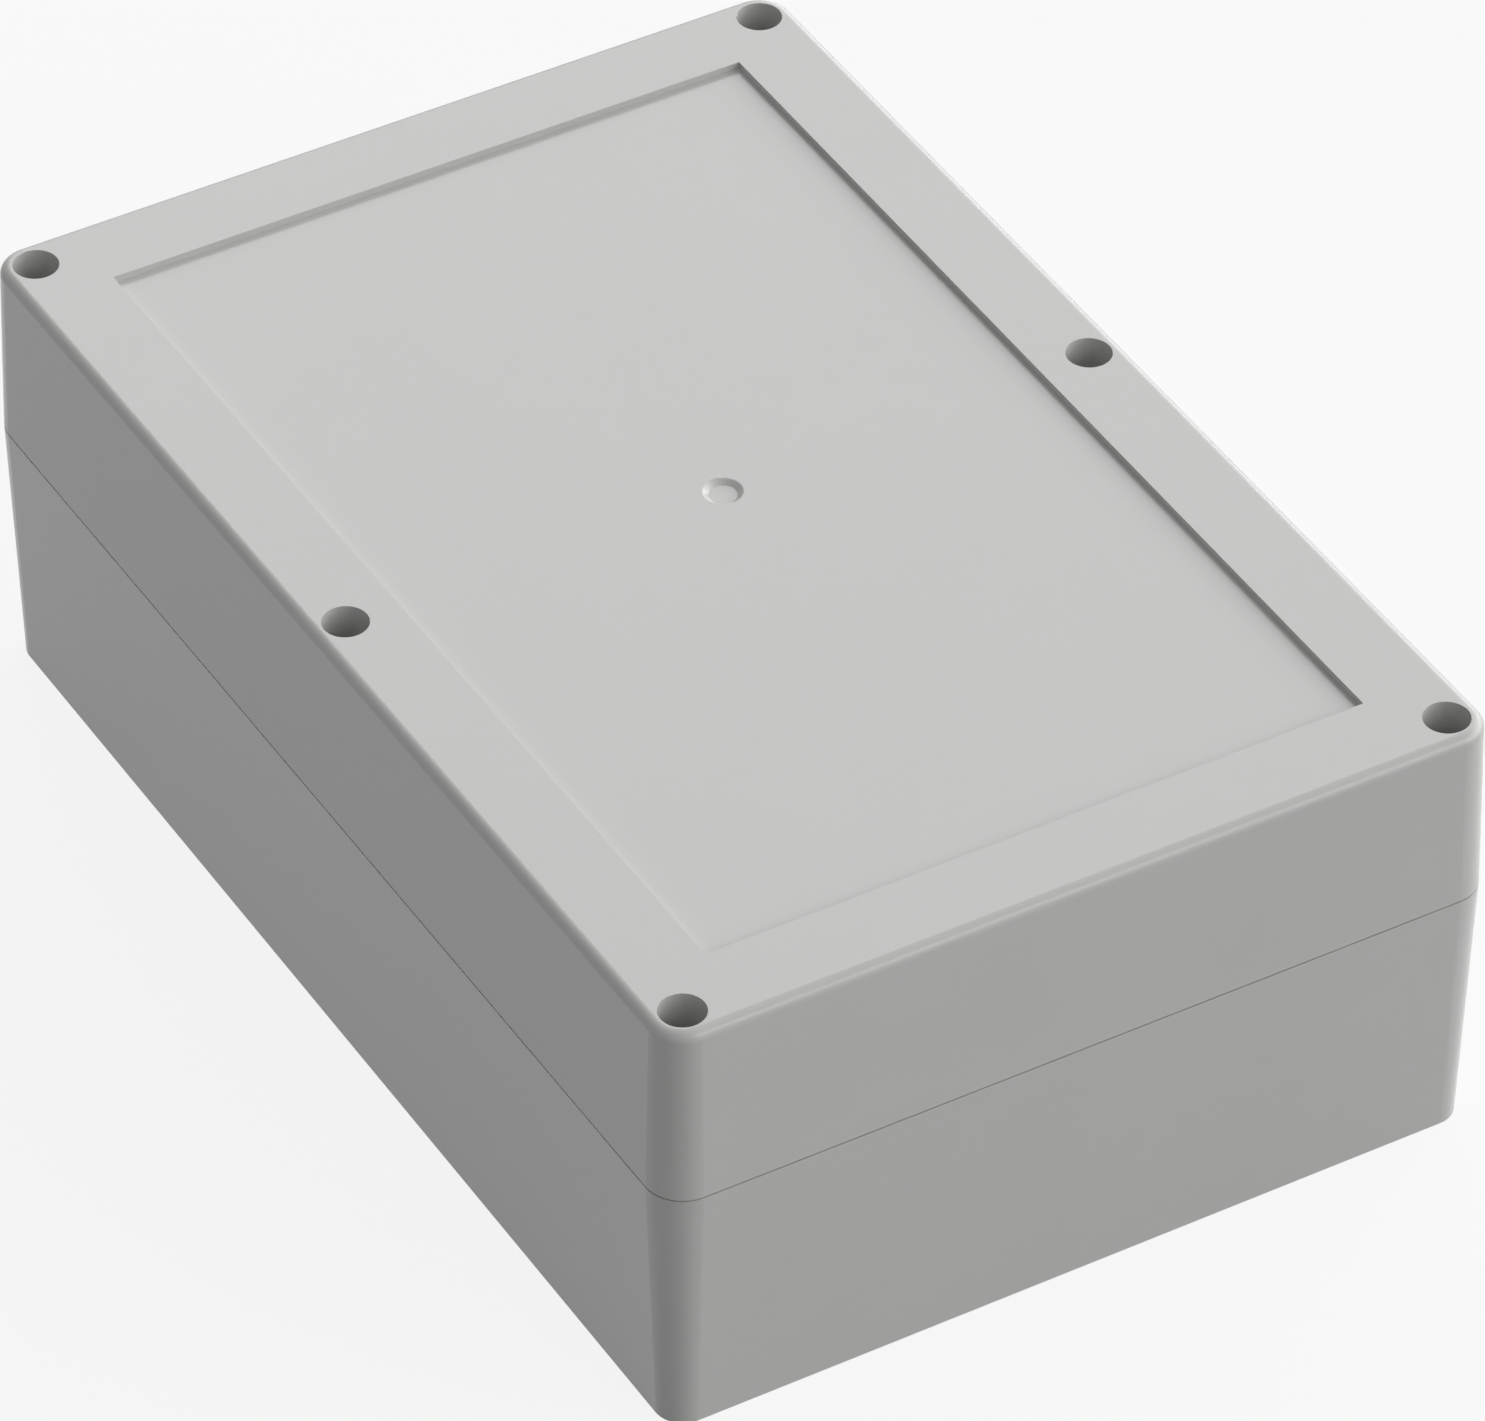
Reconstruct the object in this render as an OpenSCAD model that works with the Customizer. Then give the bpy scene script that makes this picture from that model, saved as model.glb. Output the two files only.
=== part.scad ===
// Plastic project box: a moulded base and a deep lid, sealed by a gasket and held by six captive screws.
// The origin is at the middle of the underside. X is the long side, Y the short one, and Z is up.
// The base reaches from the ground to the parting plane, and the lid from there to the top.

/* [Box] */
// Length along X, at the parting plane
box_l = 240; // [200:1:320]
// Width along Y, at the parting plane
box_w = 160; // [130:1:220]
// Height of the base, up to the parting plane
base_h = 51.5; // [40:0.5:80]
// Height of the lid, above the parting plane
lid_h = 35; // [28:0.5:50]
// Radius of the four upright corners, at the parting plane
corner_r = 7; // [6:0.5:9]
// Thickness of the side walls
wall = 4; // [3.5:0.25:4.5]
// Thickness of the base's floor
floor_t = 3; // [2:0.25:5]
// Thickness of the lid's roof
roof_t = 3; // [2:0.25:5]
// Draft of the base's walls, in degrees
base_draft = 2; // [0.5:0.25:2.5]
// Draft of the lid's walls, in degrees
lid_draft = 1.2; // [0.4:0.1:2]
// Radius of the round along the lid's top edge
top_round = 1.85; // [0.8:0.05:2]
// Radius of the fillets where the inner walls meet the floor and the roof
inner_round = 1; // [0.4:0.1:1.4]
// Height of the shadow line between the base and the lid
seam_h = 0.3; // [0.2:0.05:0.6]
// Depth of the shadow line
seam_d = 0.6; // [0.3:0.05:0.9]

/* [Label recess] */
// Width of the frame left around the recess in the lid's top
frame_w = 17; // [15:0.5:24]
// Depth of the recess
recess_d = 1.25; // [0.5:0.05:2]
// Diameter of the dimple in the middle of the recess, at its rim
dimple_d = 7; // [6:0.1:12]
// Diameter of the dimple's flat floor
dimple_floor_d = 5; // [2:0.1:5]
// Depth of the dimple
dimple_h = 0.8; // [0.3:0.05:1.5]
// Radius that the dimple's rim is rounded with
dimple_round = 0.4; // [0.1:0.05:0.5]

/* [Screw channels] */
// Distance of each screw's axis from the box's outline, both ways
screw_inset = 7; // [6.8:0.1:8]
// Diameter of the channel that a screw head sinks in
channel_d = 8.25; // [7.8:0.05:8.6]
// Height of the seat under a screw head, above the parting plane
seat_h = 14; // [13:0.5:18]
// Thickness of the web that a screw head clamps
web_t = 3; // [2:0.25:4]
// Distance from each corner screw to the wall fixing hole beside it, along X
fixing_pitch = 13; // [12.5:0.5:24]
// Diameter of the wall fixing holes
fixing_d = 4.5; // [3:0.1:6]
// Wall around a dry pocket's core, up to the seal
pocket_wall = 1.5; // [1:0.1:2.2]

/* [Screws] */
// Diameter of the screws' thread
screw_d = 4; // [3.6:0.1:4.2]
// Length of a screw under its head
screw_l = 20; // [19:0.5:22]
// Diameter of a screw head
head_d = 7; // [6:0.1:7.4]
// Height of a screw head
head_h = 2.6; // [2:0.1:4]
// Diameter of the thin neck under a screw head
neck_d = 2.9; // [2.4:0.1:3.1]
// How far a loosened screw rises before its thread meets the retaining washer
screw_travel = 9; // [7:0.5:9]
// Outer diameter of the retaining washers
washer_d = 7.2; // [6:0.1:7.4]
// Thickness of the retaining washers
washer_t = 1; // [0.6:0.1:1.4]

/* [Threaded inserts] */
// Outer diameter of the brass inserts
insert_d = 5.6; // [5.2:0.1:6.4]
// Length of the brass inserts
insert_l = 8; // [5:0.5:10]
// Depth of an insert's top face below the parting plane
insert_sink = 0.5; // [0.2:0.1:1]

/* [Seal] */
// Width of the lip outside the seal, at the parting plane
lip_w = 1.2; // [1:0.1:1.4]
// Width of the groove in the lid
groove_w = 1.8; // [1.5:0.1:2]
// Depth of the groove in the lid
groove_h = 3.2; // [2.6:0.1:4.5]
// Width of the tongue on the base
tongue_w = 1.2; // [0.9:0.1:1.3]
// Height of the tongue on the base
tongue_h = 1.8; // [1:0.1:2.2]

/* [Inside] */
// Distance between the floor bosses' holes along X
board_l = 180; // [140:1:186]
// Distance between the floor bosses' holes along Y
board_w = 104; // [80:1:110]
// Outer diameter of the bosses for circuit boards
boss_d = 7; // [6:0.25:9]
// Diameter of the bosses' pilot holes
pilot_d = 2.9; // [2:0.1:3.4]
// Height of the floor bosses
boss_h = 8; // [5:0.5:14]
// Distance between the roof bosses' holes along X
roof_boss_l = 170; // [120:1:180]
// Distance between the roof bosses' holes along Y
roof_boss_w = 96; // [70:1:104]
// Height of the roof bosses
roof_boss_h = 6; // [4:0.5:12]
// Thickness of the card guides' ribs
guide_t = 1.5; // [1:0.1:2.5]
// Width of the slot between the two ribs of a card guide
guide_slot = 2; // [1.4:0.1:3]
// How far the ribs stand out from the inner walls, at the rim
guide_reach = 3.5; // [3:0.25:5]
// Distance of the ribs' tops below the parting plane
guide_drop = 8; // [4:0.5:20]
// Distance between neighbouring card guides on the short walls
guide_pitch = 28; // [20:1:40]
// Distance between the two card guides on each long wall
long_guide_pitch = 96; // [60:1:110]

/* [Fits] */
// Radial clearance between a screw's thread and its insert
thread_gap = 0.05; // [0.02:0.01:0.1]
// Radial clearance of pieces that sit in a moulded hole
seat_gap = 0.05; // [0.02:0.01:0.1]
// Radial clearance around the screw in its web and in its washer
pass_gap = 0.2; // [0.1:0.05:0.3]

/* [Hidden] */
$fn = 64;
// How far cutting shapes reach past the faces that they cut
cut = 0.5;
grey = [0.77, 0.78, 0.77];
parting_z = base_h;
top_z = base_h + lid_h;
roof_z = top_z - roof_t;
panel_z = roof_z - recess_d;

// A pattern of centres in two rows, y either side of the middle
function two_rows(columns, y) = [for (x = columns, side = [-1, 1]) [x, side * y]];

// The screws, counted from the front left corner, and the wall fixing holes beside those at the corners
screw_x = box_l / 2 - screw_inset;
screw_y = box_w / 2 - screw_inset;
screw_at = two_rows([-screw_x, 0, screw_x], screw_y);
fixing_x = screw_x - fixing_pitch;
fixing_at = two_rows([-fixing_x, fixing_x], screw_y);

// The bosses on the floor and under the roof
board_at = two_rows([-board_l / 2, 0, board_l / 2], board_w / 2);
roof_boss_at = two_rows([-roof_boss_l / 2, roof_boss_l / 2], roof_boss_w / 2);

// The dry pockets around the screws lie outside the seal. Their walls hold the groove.
pocket_r = channel_d / 2 + pocket_wall;
post_r = pocket_r + wall - lip_w;

// Heights along a screw at rest
seat_z = parting_z + seat_h;
washer_top_z = seat_z - web_t;
washer_z = washer_top_z - washer_t;
thread_top_z = washer_z - screw_travel - pass_gap;
insert_top_z = parting_z - insert_sink;
insert_z = insert_top_z - insert_l;
counterbore_d = washer_d + 2 * seat_gap;

SCREWS = [for (i = [1:6]) str("lid_screw_", i)];
WASHERS = [for (i = [1:6]) str("screw_washer_", i)];
INSERTS = [for (i = [1:6]) str("threaded_insert_", i)];

// Half of a drafted block's section, from a corner's axis out to the wall, with its upper edge rounded
module edge_profile(r, h, draft, edge_r) {
    c = [r - (h - edge_r) * tan(draft) - edge_r / cos(draft), h - edge_r];
    polygon([[0, 0], [r, 0], c + edge_r * [cos(draft), sin(draft)], c, [c[0], h], [0, h]]);
    if (edge_r > 0) intersection() {
        translate(c) circle(edge_r);
        translate(c) square(edge_r);
    }
}

// A block with upright rounded corners, widest at z = 0, that gets narrower upwards by its draft
module drafted_block(l, w, r, h, draft, edge_r) {
    x = l / 2 - r;
    y = w / 2 - r;
    for (side = [0:3]) rotate([0, 0, 90 * side]) {
        reach = side % 2 == 0 ? x : y;
        run = side % 2 == 0 ? y : x;
        translate([reach, run, 0]) {
            rotate_extrude(angle = 90) edge_profile(r, h, draft, edge_r);
            rotate([90, 0, 0]) linear_extrude(2 * run) edge_profile(r, h, draft, edge_r);
        }
    }
    translate([-x, -y, 0]) cube([2 * x, 2 * y, h]);
}

// The hollow inside the side walls, with its opening at z = 0. Its corners keep a radius down to its end.
module drafted_hollow(h, draft) {
    end_r = 2 * inner_round;
    r = max(corner_r - wall, h * tan(draft) + end_r);
    drafted_block(box_l - 2 * wall, box_w - 2 * wall, r, h, draft, inner_round);
}

// The dry pockets seen from above. Each reaches from r inside its screw's axis out through the wall.
module pocket_plan(r) {
    out = screw_inset + cut;
    for (sx = [-1, 1], sy = [-1, 1]) scale([sx, sy]) {
        translate([fixing_x, screw_y]) circle(r);
        translate([fixing_x - r, screw_y]) square([r + fixing_pitch + out, out]);
        translate([fixing_x, screw_y - r]) square([fixing_pitch + out, r + out]);
    }
    for (sy = [-1, 1]) scale([1, sy]) translate([0, screw_y]) {
        circle(r);
        translate([-r, 0]) square([2 * r, out]);
    }
}

// The area inside the seal's path, d inside the line where the lip ends
module sealed_plan(d) {
    difference() {
        square([box_l - 2 * (lip_w + d), box_w - 2 * (lip_w + d)], center = true);
        pocket_plan(pocket_r + d);
    }
}

// A band that follows the seal's path, from d to d + w inside the lip, and h high
module seal_band(d, w, h) {
    linear_extrude(h) difference() {
        sealed_plan(d);
        sealed_plan(d + w);
    }
}

// What cores out a corner's dry pocket, around a column of radius column_r on the screw's axis
module pocket_cores(h, column_r) {
    core_r = channel_d / 2;
    for (p = fixing_at) translate([p[0], p[1], 0]) scale([sign(p[0]), sign(p[1]), 1]) difference() {
        union() {
            cylinder(r = core_r, h = h);
            translate([0, -core_r, 0]) cube([fixing_pitch, 2 * core_r, h]);
        }
        translate([fixing_pitch, 0, -cut]) cylinder(r = column_r, h = h + 2 * cut);
    }
}

// A boss that stands on z = 0, with a foot that spreads into what carries it
module boss(h) {
    foot = 1.2;
    cylinder(d = boss_d, h = h);
    cylinder(d1 = boss_d + 2 * foot, d2 = boss_d, h = foot);
}

// The two ribs of a card guide, rooted in the floor and in a wall whose outline is side from the middle
module card_guide(side) {
    root_z = floor_t / 2;
    root = wall / 2;
    depth = root + guide_reach;
    for (s = [-1, 1])
        translate([side - wall - guide_reach, s * (guide_slot + guide_t) / 2 - guide_t / 2, root_z])
            cube([depth, guide_t, parting_z - guide_drop - root_z]);
}

// The base: walls, floor, screw posts, dry corner pockets, tongue, bosses and card guides
module base() {
    color(grey) {
        difference() {
            translate([0, 0, parting_z]) mirror([0, 0, 1])
                drafted_block(box_l, box_w, corner_r, base_h, base_draft, 0);
            difference() {
                translate([0, 0, parting_z]) mirror([0, 0, 1]) drafted_hollow(base_h - floor_t, base_draft);
                linear_extrude(parting_z + cut) pocket_plan(post_r);
                base_ribs();
            }
            seam_cut();
            translate([0, 0, floor_t]) pocket_cores(base_h, insert_d / 2 + pocket_wall);
            for (p = fixing_at) translate([p[0], p[1], -cut]) cylinder(d = fixing_d, h = floor_t + 2 * cut);
            for (p = screw_at) translate([p[0], p[1], 0]) insert_hole();
            for (p = board_at) translate([p[0], p[1], floor_t]) cylinder(d = pilot_d, h = boss_h + cut);
        }
        tongue_gap = (groove_w - tongue_w) / 2;
        translate([0, 0, parting_z]) seal_band(tongue_gap, tongue_w, tongue_h);
    }
}

// What stands up inside the base
module base_ribs() {
    for (p = board_at) translate([p[0], p[1], floor_t]) boss(boss_h);
    for (a = [0, 180], k = [-1:1]) rotate([0, 0, a]) translate([0, k * guide_pitch, 0])
        card_guide(box_l / 2);
    for (a = [90, 270], k = [-1, 1]) rotate([0, 0, a]) translate([0, k * long_guide_pitch / 2, 0])
        card_guide(box_w / 2);
}

// The shadow line around the base's rim
module seam_cut() {
    translate([0, 0, parting_z - seam_h]) difference() {
        linear_extrude(seam_h + cut) square([box_l + 2 * cut, box_w + 2 * cut], center = true);
        translate([0, 0, -cut]) drafted_block(box_l - 2 * seam_d, box_w - 2 * seam_d, corner_r - seam_d,
            seam_h + 3 * cut, 0, 0);
    }
}

// The hole for an insert and, below it, room for the tip of its screw
module insert_hole() {
    tip_room = 2;
    translate([0, 0, insert_z]) cylinder(d = insert_d + 2 * seat_gap, h = insert_l + insert_sink + cut);
    translate([0, 0, insert_z - tip_room]) cylinder(d = screw_d + 2 * pass_gap, h = tip_room + cut);
}

// The lid: walls, stepped roof, screw columns, groove, label recess, dimple and bosses
module lid() {
    color(grey) difference() {
        translate([0, 0, parting_z]) drafted_block(box_l, box_w, corner_r, lid_h, lid_draft, top_round);
        difference() {
            translate([0, 0, parting_z]) drafted_hollow(lid_h - roof_t, lid_draft);
            translate([0, 0, parting_z - cut]) linear_extrude(lid_h) pocket_plan(post_r);
            roof_step();
            for (p = roof_boss_at) translate([p[0], p[1], panel_z]) mirror([0, 0, 1]) boss(roof_boss_h);
        }
        translate([0, 0, parting_z - cut]) pocket_cores(lid_h - roof_t + cut, pocket_r);
        translate([0, 0, parting_z]) seal_band(0, groove_w, groove_h);
        for (p = screw_at) translate([p[0], p[1], 0]) screw_channel();
        for (p = roof_boss_at) translate([p[0], p[1], panel_z - roof_boss_h - cut])
            cylinder(d = pilot_d, h = roof_boss_h + cut);
        label_recess();
    }
}

// The lower roof under the recess, so that the panel is as thick as the rest of the roof
module roof_step() {
    l = box_l - 2 * frame_w + 2 * roof_t;
    w = box_w - 2 * frame_w + 2 * roof_t;
    translate([-l / 2, -w / 2, panel_z]) cube([l, w, recess_d + cut]);
}

// The recess in the lid's top, with the dimple in its middle
module label_recess() {
    l = box_l - 2 * frame_w;
    w = box_w - 2 * frame_w;
    recess_z = top_z - recess_d;
    translate([-l / 2, -w / 2, recess_z]) cube([l, w, recess_d + cut]);
    translate([0, 0, recess_z]) rotate_extrude() dimple_profile();
}

// Half of the dimple's section, under the recess's floor at z = 0
module dimple_profile() {
    steps = 4;
    slope = atan2(2 * dimple_h, dimple_d - dimple_floor_d);
    rim_r = dimple_d / 2 + dimple_round * tan(slope / 2);
    rim = [for (a = [0:slope / steps:slope]) [rim_r - dimple_round * sin(a), dimple_round * (cos(a) - 1)]];
    polygon(concat([[0, cut], [rim_r, cut]], rim, [[dimple_floor_d / 2, -dimple_h], [0, -dimple_h]]));
}

// What a screw and its washer need: the channel, the hole in the web and the washer's counterbore
module screw_channel() {
    translate([0, 0, seat_z]) cylinder(d = channel_d, h = top_z - seat_z + cut);
    translate([0, 0, washer_top_z - cut]) cylinder(d = screw_d + 2 * pass_gap, h = web_t + 2 * cut);
    translate([0, 0, parting_z - cut]) cylinder(d = counterbore_d, h = washer_top_z - parting_z + cut);
}

// The soft seal in the lid's groove, pressed by the tongue
module gasket() {
    color([0.12, 0.12, 0.13]) translate([0, 0, parting_z + tongue_h])
        seal_band(seat_gap, groove_w - 2 * seat_gap, groove_h - tongue_h);
}

// A captive cheese head screw with a thin neck, a plain cylinder for its thread and a cross recess
module lid_screw() {
    tip = 0.5;
    edge = 0.3;
    recess_r = 2.1;
    recess_h = 1.5;
    wing = 0.9;
    tip_z = seat_z - screw_l;
    head_z = seat_z + head_h;
    color([0.8, 0.8, 0.82]) difference() {
        rotate_extrude() polygon([
            [0, tip_z], [screw_d / 2 - tip, tip_z], [screw_d / 2, tip_z + tip], [screw_d / 2, thread_top_z],
            [neck_d / 2, thread_top_z], [neck_d / 2, seat_z], [head_d / 2, seat_z],
            [head_d / 2, head_z - edge], [head_d / 2 - edge, head_z], [0, head_z]]);
        translate([0, 0, head_z - recess_h]) intersection() {
            cylinder(r1 = wing / 2, r2 = recess_r, h = recess_h + cut);
            union() {
                translate([-recess_r, -wing / 2, 0]) cube([2 * recess_r, wing, recess_h + cut]);
                translate([-wing / 2, -recess_r, 0]) cube([wing, 2 * recess_r, recess_h + cut]);
            }
        }
    }
}

// The retaining washer, snapped over the thread onto the neck and seated under the web
module screw_washer() {
    color([0.9, 0.9, 0.88]) translate([0, 0, washer_z]) difference() {
        cylinder(d = washer_d, h = washer_t);
        translate([0, 0, -cut]) cylinder(d = neck_d + 2 * pass_gap, h = washer_t + 2 * cut);
    }
}

// A brass insert with two gripping bands and a waist between them
module threaded_insert() {
    waist_h = 2;
    waist_r = insert_d / 2 - 0.35;
    band = (insert_l - waist_h) / 2;
    bore_r = screw_d / 2 + thread_gap;
    color([0.8, 0.65, 0.3]) translate([0, 0, insert_z]) rotate_extrude() polygon([
        [bore_r, 0], [insert_d / 2, 0], [insert_d / 2, band], [waist_r, band],
        [waist_r, insert_l - band], [insert_d / 2, insert_l - band], [insert_d / 2, insert_l],
        [bore_r, insert_l]]);
}

base();
lid();
gasket();
for (i = [0:5]) translate([screw_at[i][0], screw_at[i][1], 0]) {
    lid_screw();
    screw_washer();
    threaded_insert();
}
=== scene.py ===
"""The looks of the plastic project box: light grey moulded plastic, rubber, steel, nylon and brass."""

import math

import bmesh
import bpy
from mathutils import Matrix, Vector


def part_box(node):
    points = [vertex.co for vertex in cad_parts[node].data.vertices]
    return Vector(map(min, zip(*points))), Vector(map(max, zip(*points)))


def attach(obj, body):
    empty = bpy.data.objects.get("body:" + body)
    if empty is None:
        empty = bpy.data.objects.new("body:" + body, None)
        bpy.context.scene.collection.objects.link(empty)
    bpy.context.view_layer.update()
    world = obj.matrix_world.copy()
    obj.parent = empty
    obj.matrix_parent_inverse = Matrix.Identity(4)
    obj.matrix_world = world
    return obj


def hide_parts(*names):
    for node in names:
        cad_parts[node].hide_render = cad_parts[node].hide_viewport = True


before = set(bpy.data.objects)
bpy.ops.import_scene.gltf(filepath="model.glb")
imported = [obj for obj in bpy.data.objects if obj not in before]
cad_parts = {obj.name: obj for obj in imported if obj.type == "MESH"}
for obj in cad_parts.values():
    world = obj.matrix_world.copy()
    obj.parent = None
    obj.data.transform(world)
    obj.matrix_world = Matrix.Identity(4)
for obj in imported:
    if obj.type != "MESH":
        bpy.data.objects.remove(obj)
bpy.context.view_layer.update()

MM = 0.001
TAU = 2 * math.pi
SCREWS = range(1, 7)
THREAD_PITCH = 0.7 * MM

# The pitch at which the six screws stand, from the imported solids
corner_low, corner_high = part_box("lid_screw_6")
SCREW_PITCH_X = (corner_low.x + corner_high.x) / 2
SCREW_PITCH_Y = corner_low.y + corner_high.y


# Shader maths

class Value:
    """A node's output. Arithmetic on it adds Math nodes."""

    def __init__(self, finish, socket):
        self.finish = finish
        self.socket = socket

    def maths(self, operation, *others):
        """The result of a Math node on this value and any others."""
        return self.finish.maths(operation, self, *others)

    def __add__(self, other):
        return self.maths("ADD", other)

    def __sub__(self, other):
        return self.maths("SUBTRACT", other)

    def __rsub__(self, other):
        return self.finish.maths("SUBTRACT", other, self)

    def __mul__(self, other):
        return self.maths("MULTIPLY", other)

    def __truediv__(self, other):
        return self.maths("DIVIDE", other)


class Finish:
    """A material's or a world's shader, built node by node."""

    def __init__(self, owner):
        owner.use_nodes = True
        self.owner = owner
        self.tree = owner.node_tree
        self.tree.nodes.clear()

    def node(self, kind, settings, inputs, output=0):
        """Adds a node and gives back one of its outputs, or None where it has no output.

        The settings are its own values. The inputs are the value or the link of each of its sockets.
        """
        made = self.tree.nodes.new(kind)
        for name, value in settings.items():
            setattr(made, name, value)
        for name, value in inputs.items():
            if isinstance(value, Value):
                self.tree.links.new(value.socket, made.inputs[name])
            else:
                made.inputs[name].default_value = value
        return Value(self, made.outputs[output]) if made.outputs else None

    def maths(self, operation, *values):
        """The result of a Math node."""
        return self.node("ShaderNodeMath", {"operation": operation}, dict(enumerate(values)))

    def vectors(self, operation, *values, output=0):
        """The result of a Vector Math node."""
        settings = {"operation": operation}
        return self.node("ShaderNodeVectorMath", settings, dict(enumerate(values)), output)

    def parts(self, vector):
        """The three parts of a vector."""
        return [self.node("ShaderNodeSeparateXYZ", {}, {0: vector}, part) for part in "XYZ"]

    def place(self):
        """The point on the surface, in the frame that all pieces share at rest."""
        return self.node("ShaderNodeTexCoord", {}, {}, "Object")

    def noise(self, place, scale, detail):
        """A soft noise from 0 to 1, with scale cells in a metre."""
        return self.node("ShaderNodeTexNoise", {}, {"Vector": place, "Scale": scale, "Detail": detail})

    def between(self, value, low, high):
        """A value from 0 to 1 spread from low to high."""
        return value * (high - low) + low

    def colour(self, value, first, second):
        """The mix of two colours that a value gives, from 0 to 1."""
        return self.node("ShaderNodeMix", {"data_type": "RGBA"}, {0: value, 6: first, 7: second}, 2)

    def bump(self, height, metres):
        """A normal for a surface whose relief is a height from 0 to 1, times a depth in metres."""
        return self.node("ShaderNodeBump", {}, {"Height": height, "Strength": 1.0, "Distance": metres})

    def surface(self, **inputs):
        """Ends the material in a Principled shader. A socket's name has underscores for its spaces."""
        named = {name.replace("_", " "): value for name, value in inputs.items()}
        return self.end(self.node("ShaderNodeBsdfPrincipled", {}, named))

    def end(self, shader, kind="ShaderNodeOutputMaterial"):
        """Ends the shader in its output, and gives back its owner."""
        self.node(kind, {}, {"Surface": shader})
        return self.owner


def new_finish(name):
    """An empty material to build a finish in."""
    return Finish(bpy.data.materials.new(name))


def tone(red, green, blue):
    """The linear colour of a display colour of 0 to 255."""
    return tuple(((shade / 255 + 0.055) / 1.055) ** 2.4 for shade in (red, green, blue)) + (1.0,)


def grey(shade):
    """A grey as a linear colour."""
    return (shade, shade, shade, 1.0)


WHITE = grey(1.0)


# Finishes

def housing_plastic():
    """Light grey moulded plastic: satin, a faint flow mottle and the fine grain of an eroded mould."""
    finish = new_finish("housing_plastic")
    place = finish.place()
    mottle = finish.noise(place, scale=40.0, detail=3.0)
    grain = finish.noise(place, scale=4500.0, detail=2.0)
    return finish.surface(
        Base_Color=finish.colour(mottle, tone(199, 200, 198), tone(203, 204, 202)),
        Roughness=finish.between(mottle, low=0.18, high=0.22),
        Normal=finish.bump(grain, metres=0.002 * MM),
    )


def seal_rubber():
    """Soft dark rubber with a matt, uneven skin."""
    finish = new_finish("seal_rubber")
    skin = finish.noise(finish.place(), scale=900.0, detail=3.0)
    return finish.surface(
        Base_Color=finish.colour(skin, tone(40, 40, 42), tone(54, 54, 55)),
        Roughness=finish.between(skin, low=0.7, high=0.85),
        Normal=finish.bump(skin, metres=0.06 * MM),
    )


def from_axis(finish):
    """The place measured from the axis of the nearest screw. Its height stays as it is."""
    above_all = 1.0
    half = Vector((SCREW_PITCH_X / 2, SCREW_PITCH_Y / 2, above_all))
    middle = finish.vectors("ADD", finish.place(), (0, SCREW_PITCH_Y / 2, 0))
    return finish.vectors("WRAP", middle, half, -half)


def turning_marks(finish):
    """Fine rings round a turned piece's axis, from 0 to 1, and the distance and place from that axis."""
    local = from_axis(finish)
    flat = finish.vectors("MULTIPLY", local, (1, 1, 0))
    radius = finish.vectors("LENGTH", flat, output="Value")
    height = finish.parts(local)[2]
    rings = finish.node("ShaderNodeCombineXYZ", {}, {"X": radius, "Z": height})
    return finish.noise(rings, scale=9000.0, detail=2.0), radius, local


def screw_steel():
    """Bright stainless steel with fine turning marks."""
    finish = new_finish("screw_steel")
    marks = turning_marks(finish)[0]
    return finish.surface(
        Base_Color=finish.colour(marks, tone(186, 187, 188), tone(208, 208, 207)),
        Metallic=1.0,
        Roughness=finish.between(marks, low=0.22, high=0.38),
        Normal=finish.bump(marks, metres=0.006 * MM),
    )


def insert_brass():
    """Turned brass with a tapped thread down its bore, as relief."""
    bore_reach = 2.08 * MM
    thread_depth = 0.35 * MM
    marks_share = 0.02
    dull = (0.62, 0.43, 0.17, 1.0)
    bright = (0.74, 0.55, 0.25, 1.0)
    finish = new_finish("insert_brass")
    marks, radius, local = turning_marks(finish)
    east, north, height = finish.parts(local)
    turn = north.maths("ARCTAN2", east) / TAU
    phase = (height / THREAD_PITCH - turn).maths("FRACT")
    ridge = 1 - (phase * 2 - 1).maths("ABSOLUTE")
    in_bore = radius.maths("LESS_THAN", bore_reach)
    relief = ridge * in_bore + marks * marks_share
    return finish.surface(
        Base_Color=finish.colour(marks, dull, bright),
        Metallic=1.0,
        Roughness=finish.between(marks, low=0.22, high=0.36),
        Normal=finish.bump(relief, metres=thread_depth),
    )


def washer_nylon():
    """Milky natural nylon."""
    finish = new_finish("washer_nylon")
    cloud = finish.noise(finish.place(), scale=700.0, detail=2.0)
    return finish.surface(
        Base_Color=finish.colour(cloud, tone(221, 218, 207), tone(232, 230, 221)),
        Roughness=finish.between(cloud, low=0.35, high=0.48),
        Normal=finish.bump(cloud, metres=0.02 * MM),
    )


def dress(node, material):
    """Gives a CAD node its finish."""
    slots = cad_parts[node].data.materials
    slots.clear()
    slots.append(material)


def new_piece(name, points, faces, material, body, node):
    """A closed piece that replaces a CAD node. Its soft edges are shaded smooth and its hard ones sharp."""
    hard_edge = math.radians(32)
    mesh = bpy.data.meshes.new(name)
    mesh.from_pydata(points, [], faces)
    shape = bmesh.new()
    shape.from_mesh(mesh)
    bmesh.ops.recalc_face_normals(shape, faces=shape.faces)
    shape.to_mesh(mesh)
    shape.free()
    mesh.shade_smooth()
    mesh.set_sharp_from_angle(angle=hard_edge)
    mesh.materials.append(material)
    piece = bpy.data.objects.new(name, mesh)
    bpy.context.scene.collection.objects.link(piece)
    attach(piece, body)
    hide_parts(node)


# The lid screws, with their rolled threads and cross recesses

SPOKES = 72
TURNS = [spoke / SPOKES for spoke in range(SPOKES)]
THREAD_R = 2.0 * MM
THREAD_TOP = 6.8 * MM
NECK_R = 1.45 * MM
HEAD_R = 3.5 * MM
HEAD_H = 2.6 * MM
RECESS_DEPTH = 1.68 * MM

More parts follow.
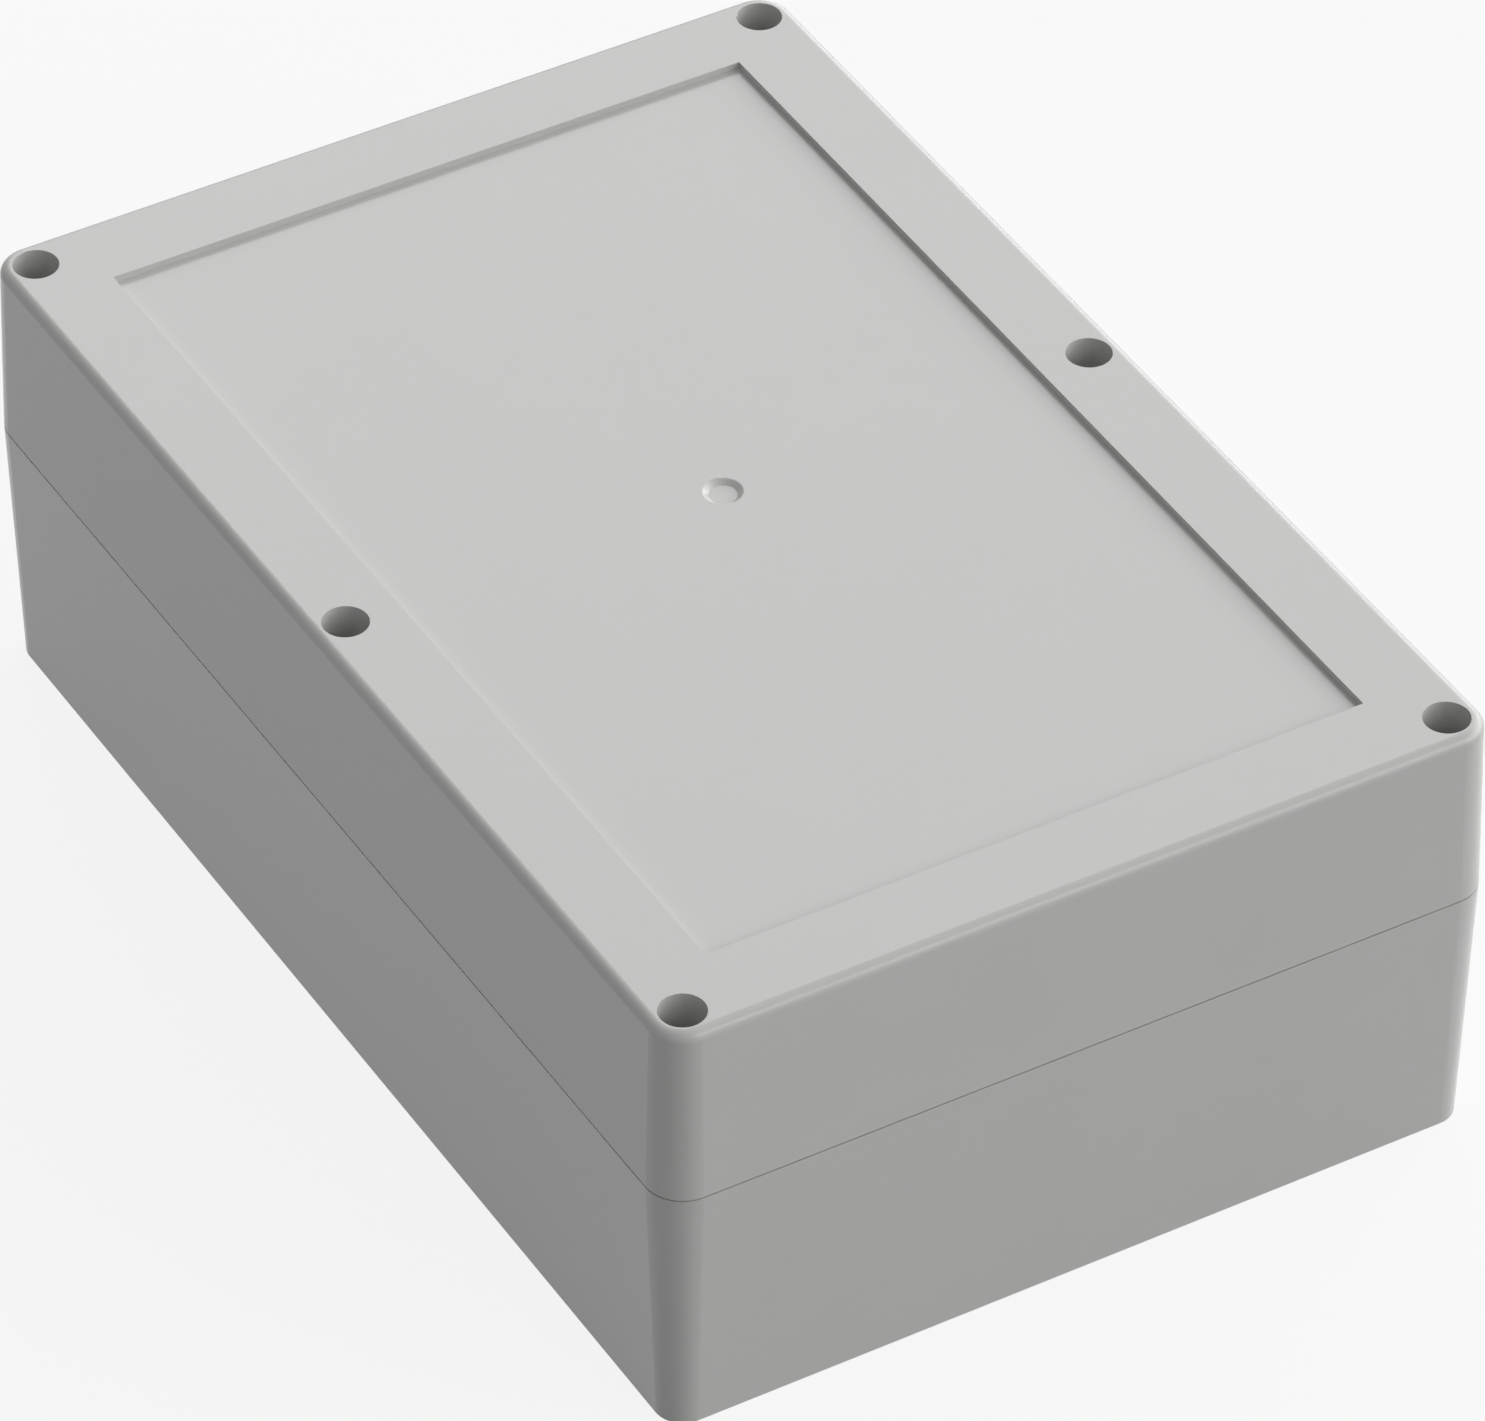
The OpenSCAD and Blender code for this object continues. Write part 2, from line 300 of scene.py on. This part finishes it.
# The cross recess from its top down, in mm: depth, reach and half width of the wings, radius of the core
RECESS = [
    (0.0, 2.06, 0.58, 1.0),
    (0.05, 2.0, 0.53, 0.95),
    (0.5, 1.78, 0.49, 0.84),
    (1.0, 1.42, 0.45, 0.72),
    (1.5, 0.95, 0.41, 0.6),
    (1.62, 0.4, 0.3, 0.4),
]


def thread_radius(turn, height):
    """The thread's radius at a share of a turn and a height above the tip. It fades out at both ends."""
    sharp_share = 0.866
    root_share = 0.25
    depth_share = 0.62
    chamfer_r = 1.4 * MM
    sharp = sharp_share * THREAD_PITCH
    root_flat = root_share * sharp
    depth = depth_share * sharp
    phase = (height / THREAD_PITCH - turn) % 1.0
    ridge = sharp * (1 - abs(2 * phase - 1))
    cut = THREAD_R - depth + min(max(ridge - root_flat, 0.0), depth)
    return min(cut, chamfer_r + height, NECK_R + (THREAD_TOP - height))


def cross_radius(turn, wing, half_width, core):
    """The radius of a cross recess at a share of a turn: four wings round a core."""
    wings = 4
    least_sine = 0.001
    angle = ((turn * wings + 0.5) % 1.0 - 0.5) * (TAU / wings)
    side = half_width / max(abs(math.sin(angle)), least_sine)
    return max(core, min(wing / math.cos(angle), side))


def thread_rings():
    """The rings of the thread, from the tip up. A ring is its height and its radius at each spoke."""
    rings_a_pitch = 10
    steps = round(THREAD_TOP / THREAD_PITCH * rings_a_pitch)
    rings = []
    for step in range(steps + 1):
        height = THREAD_TOP * step / steps
        rings.append((height, [thread_radius(turn, height) for turn in TURNS]))
    return rings


def head_rings(length):
    """The rings of the neck and the head, with the fillet between them and the head's round edge."""
    fillet = 0.25 * MM
    edge = 0.3 * MM
    eased = 0.3
    edge_steps = 6
    top = length + HEAD_H
    outline = [
        (length - fillet, NECK_R),
        (length - eased * fillet, NECK_R + eased * fillet),
        (length, NECK_R + fillet),
        (length, HEAD_R - eased * edge),
        (length + eased * edge, HEAD_R),
        (top - edge, HEAD_R),
    ]
    for step in range(1, edge_steps + 1):
        around = TAU / 4 * step / edge_steps
        outline.append((top - edge + edge * math.sin(around), HEAD_R - edge + edge * math.cos(around)))
    return [(height, [radius] * SPOKES) for height, radius in outline]


def recess_rings(top):
    """The rings of the cross recess, from the head's top down."""
    rings = []
    for depth, wing, half_width, core in RECESS:
        radii = [cross_radius(turn, wing * MM, half_width * MM, core * MM) for turn in TURNS]
        rings.append((top - depth * MM, radii))
    return rings


def turned_faces(rings):
    """The faces of a turned piece: a fan at each end and bands of four-sided faces between its rings."""
    last = 1 + rings * SPOKES
    faces = []
    for spoke in range(SPOKES):
        after = (spoke + 1) % SPOKES
        faces.append((0, 1 + after, 1 + spoke))
        faces.append((last - SPOKES + spoke, last - SPOKES + after, last))
        for ring in range(rings - 1):
            low = 1 + ring * SPOKES
            high = low + SPOKES
            faces.append((low + spoke, low + after, high + after, high + spoke))
    return faces


def lid_screw(number, material):
    """One captive screw, standing where its CAD node stands."""
    node = f"lid_screw_{number}"
    low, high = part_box(node)
    middle = (low + high) / 2
    length = high.z - low.z - HEAD_H
    rings = thread_rings() + head_rings(length) + recess_rings(length + HEAD_H)
    points = [(middle.x, middle.y, low.z)]
    for height, radii in rings:
        for turn, radius in zip(TURNS, radii):
            east = middle.x + radius * math.cos(TAU * turn)
            north = middle.y + radius * math.sin(TAU * turn)
            points.append((east, north, low.z + height))
    points.append((middle.x, middle.y, high.z - RECESS_DEPTH))
    faces = turned_faces(len(rings))
    new_piece(f"threaded_{node}", points, faces, material, f"screw_{number}", node)


# The seal, a pressed rubber strip that follows the groove round the dry pockets

SEAL_W = 1.7 * MM
POCKET_R = 6.525 * MM
FIXING_PITCH = 13 * MM


def pocket_turn(centre_x, centre_y, start, end):
    """The points of the seal's quarter turn round a dry pocket, from a start to an end in degrees."""
    step = 7.5
    steps = round(abs(end - start) / step)
    points = []
    for index in range(steps + 1):
        angle = math.radians(start + (end - start) * index / steps)
        east = centre_x + POCKET_R * math.cos(angle)
        north = centre_y + POCKET_R * math.sin(angle)
        points.append(Vector((east, north)))
    return points


def seal_line(high):
    """The middle line of the seal, anticlockwise from above, for the high corner of its box."""
    reach_x = high.x - SEAL_W / 2
    reach_y = high.y - SEAL_W / 2
    pocket_x = SCREW_PITCH_X - FIXING_PITCH
    pocket_y = SCREW_PITCH_Y / 2
    quarter = [Vector((reach_x, pocket_y - POCKET_R))]
    quarter += pocket_turn(pocket_x, pocket_y, 270, 180)
    quarter.append(Vector((pocket_x - POCKET_R, reach_y)))
    quarter.append(Vector((POCKET_R, reach_y)))
    quarter += pocket_turn(0, pocket_y, 0, -90)
    line = list(quarter)
    line += [Vector((-point.x, point.y)) for point in reversed(quarter[:-1])]
    line += [-point for point in quarter]
    line += [Vector((point.x, -point.y)) for point in reversed(quarter[:-1])]
    return line


def inward_mitres(line):
    """The inward step at each point of a closed anticlockwise line. It keeps a strip's width at bends."""
    mitres = []
    for index, point in enumerate(line):
        before = (point - line[index - 1]).normalized()
        after = (line[(index + 1) % len(line)] - point).normalized()
        first = Vector((-before.y, before.x))
        second = Vector((-after.y, after.x))
        mitres.append((first + second) / (1 + first.dot(second)))
    return mitres


def seal_section(height):
    """The strip's section: across and up from its lower middle, square above and rounded below."""
    half = SEAL_W / 2
    round_r = 0.45 * MM
    corner_steps = 5
    section = [(half, height), (-half, height)]
    for start, side in ((180, -1), (270, 1)):
        for step in range(corner_steps + 1):
            angle = math.radians(start + 90 * step / corner_steps)
            across = side * (half - round_r) + round_r * math.cos(angle)
            section.append((across, round_r + round_r * math.sin(angle)))
    return section


def seal(material):
    """The seal, pressed in the lid's groove."""
    low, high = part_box("gasket")
    line = seal_line(high)
    section = seal_section(high.z - low.z)
    points = []
    for point, mitre in zip(line, inward_mitres(line)):
        for across, up in section:
            place = point + mitre * across
            points.append((place.x, place.y, low.z + up))
    rows = len(section)
    faces = []
    for ring in range(len(line)):
        here = ring * rows
        there = (ring + 1) % len(line) * rows
        for row in range(rows):
            beside = (row + 1) % rows
            faces.append((here + row, there + row, there + beside, here + beside))
    new_piece("pressed_seal", points, faces, material, "lid", "gasket")


# The floor, the light and the camera

def background_seen(finish):
    """One where the camera, a reflection or a refraction sees the background, and nought elsewhere."""
    seen = finish.node("ShaderNodeLightPath", {}, {}, "Is Camera Ray")
    mirrored = finish.node("ShaderNodeLightPath", {}, {}, "Is Glossy Ray")
    refracted = finish.node("ShaderNodeLightPath", {}, {}, "Is Transmission Ray")
    return (seen + mirrored + refracted).maths("MINIMUM", 1.0)


def studio_floor():
    """A wide floor, seen as white apart from the box's faint shadow. It throws little light back."""
    half = 6.0
    below = 0.05 * MM
    paper_shade = 0.8
    bounce_shade = 0.28
    white_share = 0.86
    finish = new_finish("studio_floor")
    seen = background_seen(finish)
    paper = finish.node("ShaderNodeBsdfDiffuse", {}, {"Color": grey(paper_shade)})
    bounce = finish.node("ShaderNodeBsdfDiffuse", {}, {"Color": grey(bounce_shade)})
    white = finish.node("ShaderNodeEmission", {}, {"Color": WHITE, "Strength": 1.0})
    lit = finish.node("ShaderNodeMixShader", {}, {0: seen, 1: bounce, 2: paper})
    mixed = finish.node("ShaderNodeMixShader", {}, {0: seen * white_share, 1: lit, 2: white})
    corners = [(-half, -half, -below), (half, -half, -below), (half, half, -below), (-half, half, -below)]
    mesh = bpy.data.meshes.new("studio_floor")
    mesh.from_pydata(corners, [], [(0, 1, 2, 3)])
    mesh.materials.append(finish.end(mixed))
    piece = bpy.data.objects.new("studio_floor", mesh)
    bpy.context.scene.collection.objects.link(piece)


def sky_window(sky, towards, turns, lifts):
    """One inside a window of the sky, between two turns and two lifts in degrees, and nought outside."""
    middle_turn = math.radians(sum(turns) / 2)
    half_turn = math.radians((turns[1] - turns[0]) / 2)
    middle_lift = math.radians(sum(lifts) / 2)
    half_lift = math.radians((lifts[1] - lifts[0]) / 2)
    rotation = {"Vector": towards, "Angle": -middle_turn}
    faced = sky.node("ShaderNodeVectorRotate", {"rotation_type": "Z_AXIS"}, rotation)
    along, across, up = sky.parts(faced)
    beside = across.maths("ARCTAN2", along).maths("ABSOLUTE").maths("LESS_THAN", half_turn)
    level = (up.maths("ARCSINE") - middle_lift).maths("ABSOLUTE").maths("LESS_THAN", half_lift)
    return beside * level


def studio_air():
    """Even light from all round, and two wide windows of light behind the box, one above the other."""
    air = 0.3
    upper_strength = 1.95
    lower_strength = 2.8
    world = bpy.data.worlds.new("studio_air")
    bpy.context.scene.world = world
    sky = Finish(world)
    towards = sky.node("ShaderNodeTexCoord", {}, {}, "Generated")
    upper = sky_window(sky, towards, turns=(5, 168), lifts=(22, 45))
    lower = sky_window(sky, towards, turns=(28, 147), lifts=(4, 22))
    windows = upper * upper_strength + lower * lower_strength
    camera_ray = sky.node("ShaderNodeLightPath", {}, {}, "Is Camera Ray")
    strength = sky.between(background_seen(sky), air, 1.0) + windows * (1 - camera_ray)
    light = sky.node("ShaderNodeBackground", {}, {"Color": WHITE, "Strength": strength})
    sky.end(light, "ShaderNodeOutputWorld")


def camera():
    """A long lens high in front of the right corner, with a hair of roll."""
    eye = Vector((1211.65, -704.35, 1212.43)) * MM
    target = Vector((1.743, 2.981, 36.52)) * MM
    photo_width = 1485
    focal_pixels = 10576
    sensor = 36.0
    farthest = 50.0
    roll = math.radians(0.214)
    lens = bpy.data.cameras.new("camera")
    lens.sensor_width = sensor
    lens.lens = sensor * focal_pixels / photo_width
    lens.clip_end = farthest
    holder = bpy.data.objects.new("camera", lens)
    level = (target - eye).to_track_quat("-Z", "Y").to_matrix()
    holder.matrix_world = Matrix.Translation(eye) @ (level @ Matrix.Rotation(roll, 3, "Z")).to_4x4()
    bpy.context.scene.collection.objects.link(holder)
    bpy.context.scene.camera = holder


plastic = housing_plastic()
dress("base", plastic)
dress("lid", plastic)
seal(seal_rubber())
steel = screw_steel()
nylon = washer_nylon()
brass = insert_brass()
for number in SCREWS:
    lid_screw(number, steel)
    dress(f"screw_washer_{number}", nylon)
    dress(f"threaded_insert_{number}", brass)

studio_floor()
studio_air()
camera()
bpy.context.scene.view_settings.view_transform = "Standard"
